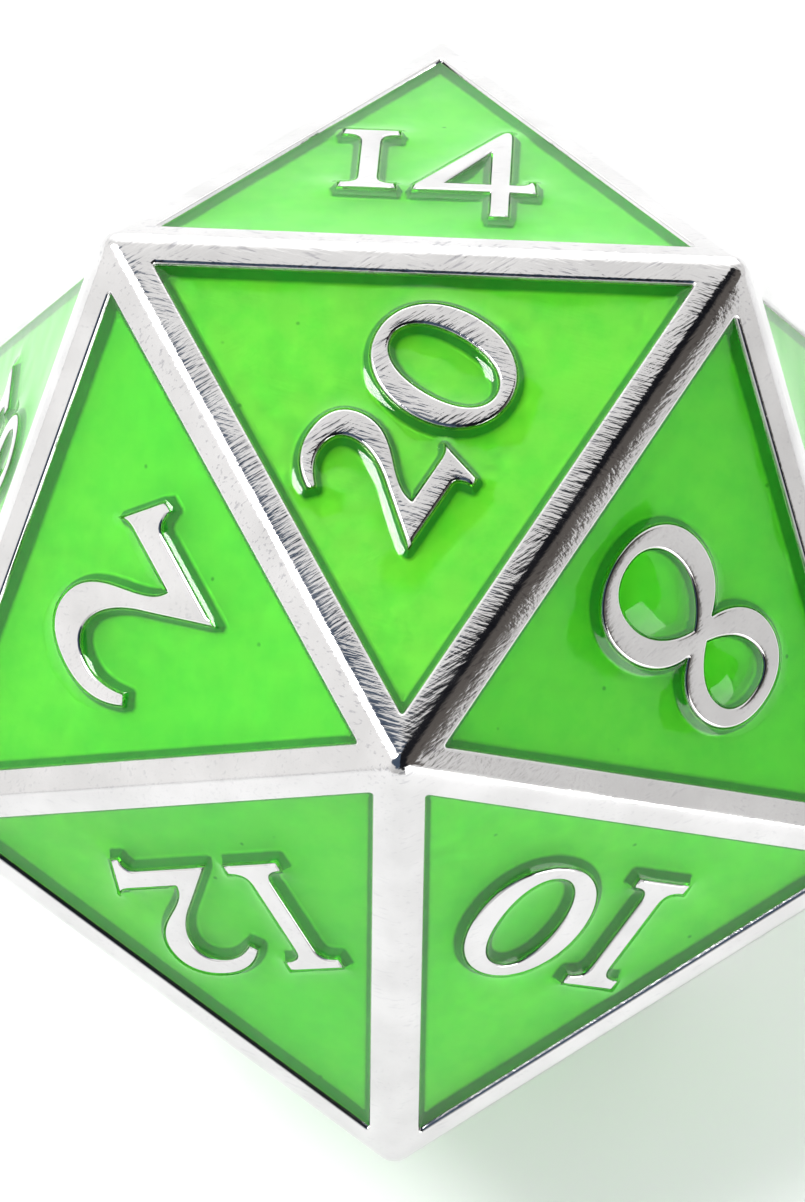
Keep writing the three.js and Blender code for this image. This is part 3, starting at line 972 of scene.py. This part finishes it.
def plating_material():
    """Satin chrome plating, brushed two ways, most of all on top, with cloudy spots, and a painted teal
    shade on the pocket walls under the enamel.
    """
    material = bpy.data.materials.new("plating")
    nodes = NodeTree(material)
    place = nodes.add("ShaderNodeTexCoord").outputs["Object"]

    def strokes(degrees):
        turned_place = nodes.add("ShaderNodeMapping", {
            "Vector": place, "Rotation": (0, 0, math.radians(degrees)),
        }).outputs["Vector"]
        along = nodes.add("ShaderNodeMapping", {
            "Vector": turned_place, "Scale": STROKE_SCALE,
        }).outputs["Vector"]
        return nodes.noise(along, 1.0, detail=2)

    patches = nodes.remap(nodes.noise(place, 420, detail=1), 0.44, 0.56, 0, 1)
    brushed = nodes.blend(patches, strokes(14), strokes(-36))
    height = nodes.add("ShaderNodeSeparateXYZ", {"Vector": place}).outputs["Z"]
    rubbed = nodes.remap(height, (FACE_TO_FACE - 0.9) * MM, (FACE_TO_FACE - 0.2) * MM, 0.3, 1)
    cloudy = nodes.noise(place, 600, detail=4)
    pitted = nodes.noise(place, 2600, detail=3)

    tone = nodes.remap(cloudy, 0.35, 0.65, 0, 1)
    open_metal = nodes.mix(tone, CLOUDED_METAL, CLEAN_METAL)
    scratch = nodes.math("MULTIPLY", nodes.remap(brushed, 0.3, 0.42, 0.5, 0), rubbed)
    open_metal = nodes.mix(scratch, open_metal, SCRATCHED_METAL)
    depth = nodes.add("ShaderNodeAttribute", attribute_name="depth").outputs["Fac"]
    covered = nodes.remap(depth, 0.2, 0.3, 0, 1)
    floor = nodes.remap(depth, 0.86, 0.995, 0, 1)
    open_rough = nodes.math("ADD", nodes.remap(cloudy, 0.3, 0.7, 0.07, 0.14),
                            nodes.remap(brushed, 0.3, 0.7, -0.02, 0.03))
    cast_rough = nodes.remap(pitted, 0.3, 0.7, 0.55, 0.7)
    rough = nodes.blend(covered, open_rough, cast_rough)
    # Painted shade: dark teal on the pocket walls, changing to the pale cast floor deeper down.
    cast_metal_with_painted_wall_shade = nodes.mix(floor, WALL_PAINTED_SHADE, CAST_FLOOR)
    colour = nodes.mix(covered, open_metal, cast_metal_with_painted_wall_shade)
    grooves = nodes.math("MULTIPLY", nodes.math("MULTIPLY", brushed, 1.1), rubbed)
    relief = nodes.math("ADD", grooves, nodes.math("MULTIPLY", pitted, 0.4))
    bump = nodes.add("ShaderNodeBump", {"Height": relief, "Strength": 0.35, "Distance": 0.00002})
    shader = nodes.add("ShaderNodeBsdfPrincipled", {
        "Base Color": colour, "Metallic": 1.0, "Roughness": rough, "Normal": bump.outputs["Normal"],
    })
    nodes.add("ShaderNodeOutputMaterial", {"Surface": shader.outputs["BSDF"]})
    return material


DEEP_GREEN = (0.10, 0.95, 0.025, 1)
LIGHT_GREEN = (0.15, 0.98, 0.035, 1)
MOTTLED_GREEN = (0.06, 0.86, 0.025, 1)
WARM_LIT_GREEN = (0.3, 0.93, 0.06, 1)
SPECK = (0.01, 0.25, 0.01, 1)


def enamel_material():
    """Green poured enamel: clear, glossy, faintly mottled, with a few specks, and painted warm light
    that turns the top face yellower.
    """
    material = bpy.data.materials.new("enamel")
    nodes = NodeTree(material)
    place = nodes.add("ShaderNodeTexCoord").outputs["Object"]
    mottle = nodes.noise(place, 1500, detail=4, roughness=0.6)
    drift = nodes.noise(place, 180, detail=2)
    specks = nodes.add("ShaderNodeTexVoronoi", {"Vector": place, "Scale": 900}).outputs["Distance"]

    base = nodes.mix(nodes.remap(drift, 0.35, 0.65, 0, 1), DEEP_GREEN, LIGHT_GREEN)
    # Painted warm light: the top face's green is mixed towards yellow.
    warm_light_share = nodes.add("ShaderNodeAttribute", attribute_name="warm_light_share").outputs["Fac"]
    base = nodes.mix(warm_light_share, base, WARM_LIT_GREEN)
    base = nodes.mix(nodes.remap(mottle, 0.42, 0.62, 0, 0.5), base, MOTTLED_GREEN)
    base = nodes.mix(nodes.remap(specks, 0.03, 0.06, 0.75, 0), base, SPECK)
    relief = nodes.noise(place, 700, detail=3)
    bump = nodes.add("ShaderNodeBump", {"Height": relief, "Strength": 0.2, "Distance": 0.00001})
    rough = nodes.remap(mottle, 0.3, 0.7, 0.03, 0.08)
    shader = nodes.add("ShaderNodeBsdfPrincipled", {
        "Base Color": base, "Roughness": rough, "IOR": 1.45, "Transmission Weight": 0.93,
        "Normal": bump.outputs["Normal"],
    })
    nodes.add("ShaderNodeOutputMaterial", {"Surface": shader.outputs["BSDF"]})
    return material


def floor_material():
    """White matt card with a barely uneven tone and a faint glow of its own."""
    material = bpy.data.materials.new("studio_floor")
    nodes = NodeTree(material)
    place = nodes.add("ShaderNodeTexCoord").outputs["Object"]
    tone = nodes.remap(nodes.noise(place, 30, detail=4), 0.3, 0.7, 0, 1)
    colour = nodes.mix(tone, (0.93, 0.93, 0.93, 1), (0.96, 0.96, 0.96, 1))
    shader = nodes.add("ShaderNodeBsdfPrincipled", {
        "Base Color": colour, "Roughness": 0.6, "Emission Color": colour, "Emission Strength": 0.22,
    })
    nodes.add("ShaderNodeOutputMaterial", {"Surface": shader.outputs["BSDF"]})
    return material


# ---- Studio ----------------------------------------------------------------------------------


def direction(azimuth, elevation):
    """A unit vector: azimuth 0 looks from the front, 90 from the right."""
    turn, lift = math.radians(azimuth), math.radians(elevation)
    return Vector((math.sin(turn) * math.cos(lift), -math.cos(turn) * math.cos(lift), math.sin(lift)))


CARD_HALF = 3.0
CARD_GAP = 0.00002


def make_floor():
    """A wide card that the die stands on."""
    signs = ((-1, -1), (1, -1), (1, 1), (-1, 1))
    corners = [(x * CARD_HALF, y * CARD_HALF, 0) for x, y in signs]
    floor = mesh_object("studio_floor", corners, [(0, 1, 2, 3)])
    floor.location.z = CAD_BOX[0][2] - CARD_GAP
    floor.data.materials.append(floor_material())


LEFT_SIDE = (1.35, 1.34, 1.34, 1)
RIGHT_SIDE = (1.0, 0.99, 0.99, 1)
BACK_SIDE = (2.6, 2.6, 2.6, 1)
FRONT_SIDE = (0.75, 0.75, 0.75, 1)
OPENING = (0.012, 0.013, 0.017, 1)
OPENING_LEFT = (0.09, 0.13, 0.2, 1)
OPENING_RIGHT = (0.15, 0.135, 0.125, 1)
OPENING_AXIS = (0.439, -0.324, 0.838)
CAMERA_SIDE = (0.02, -0.36, 0.933)


def make_world():
    """A light tent: pale sides, a brighter back, and dark openings by the camera."""
    world = bpy.data.worlds.new("studio")
    bpy.context.scene.world = world
    nodes = NodeTree(world)
    look = nodes.add("ShaderNodeTexCoord").outputs["Generated"]

    def facing(axis):
        dot = nodes.add("ShaderNodeVectorMath", {0: look, 1: axis}, operation="DOT_PRODUCT")
        return dot.outputs["Value"]

    def lobe(axis, inner, outer):
        """1 within the inner angle of a direction, fading to 0 at the outer angle."""
        edges = (math.cos(math.radians(outer)), math.cos(math.radians(inner)))
        return nodes.remap(facing(axis), *edges, 0, 1)

    colour = nodes.mix(nodes.remap(facing((1, 0, 0)), -0.9, 0.9, 0, 1), LEFT_SIDE, RIGHT_SIDE)
    colour = nodes.mix(lobe(direction(180, 12), 15, 45), colour, BACK_SIDE)
    colour = nodes.mix(lobe(direction(0, 0), 20, 60), colour, FRONT_SIDE)
    opening = nodes.mix(nodes.remap(facing((1, 0, 0)), 0.5, 0.65, 0, 1), OPENING, OPENING_RIGHT)
    opening = nodes.mix(nodes.remap(facing((1, 0, 0)), -0.06, 0.03, 0, 1), OPENING_LEFT, opening)
    dark = nodes.math("MAXIMUM", lobe(OPENING_AXIS, 41.8, 43.2), lobe(CAMERA_SIDE, 39.4, 40.8))
    colour = nodes.mix(dark, colour, opening)
    background = nodes.add("ShaderNodeBackground", {"Color": colour, "Strength": 1.0})
    nodes.add("ShaderNodeOutputWorld", {"Surface": background.outputs["Background"]})


KEY = {"azimuth": -102, "elevation": 60, "away": 0.5, "size": (0.16, 0.16), "power": 1.7}
FILL = {"azimuth": 43, "elevation": 15, "away": 0.6, "size": (0.34, 0.34), "power": 1.35}


def make_softbox(name, azimuth, elevation, away, size, power):
    light = bpy.data.lights.new(name, "AREA")
    light.shape = "RECTANGLE"
    light.size, light.size_y = size
    light.energy = power
    lamp = bpy.data.objects.new(name, light)
    bpy.context.collection.objects.link(lamp)
    centre = Vector((0, 0, INRADIUS * MM))
    lamp.location = centre + direction(azimuth, elevation) * away
    lamp.rotation_euler = (centre - lamp.location).to_track_quat("-Z", "Y").to_euler()


CAMERA_AZIMUTH = 3.118
CAMERA_ELEVATION = 68.91
CAMERA_ROLL = math.radians(-0.98)
CAMERA_LENS = 189.77
CAMERA_DISTANCE = 10.486 * EDGE * MM
AIM_SHIFT = Vector((-0.0254, -0.0122, -0.0042)) * EDGE * MM


def make_camera():
    """A long lens steeply above the die, turned and rolled a little."""
    centre = Vector((0, 0, INRADIUS * MM))
    aim = AIM_SHIFT + centre
    data = bpy.data.cameras.new("camera")
    data.sensor_fit = "VERTICAL"
    data.sensor_height = 36
    data.lens = CAMERA_LENS
    data.clip_start = 0.01
    camera = bpy.data.objects.new("camera", data)
    bpy.context.collection.objects.link(camera)
    camera.location = centre + direction(CAMERA_AZIMUTH, CAMERA_ELEVATION) * CAMERA_DISTANCE
    level = (aim - camera.location).to_track_quat("-Z", "Y").to_matrix()
    roll = Matrix.Rotation(CAMERA_ROLL, 3, "Z")
    camera.rotation_euler = (level @ roll).to_euler()
    bpy.context.scene.camera = camera


# ---- Assembly ----------------------------------------------------------------------------------


def main():
    planes = {number: FacePlane(number) for number in FACES}
    drawings = {number: Drawing(number) for number in FACES}

    casting = make_casting(planes, drawings)
    casting.data.materials.append(plating_material())
    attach(casting, "root")
    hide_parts("die_casting")

    enamel = enamel_material()
    for number, plane in planes.items():
        for node, piece in make_enamel(number, plane, drawings[number]).items():
            piece.data.materials.append(enamel)
            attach(piece, "root")
            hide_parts(node)

    make_floor()
    make_world()
    make_softbox("key", **KEY)
    make_softbox("fill", **FILL)
    make_camera()
    bpy.context.scene.view_settings.view_transform = "Standard"


main()
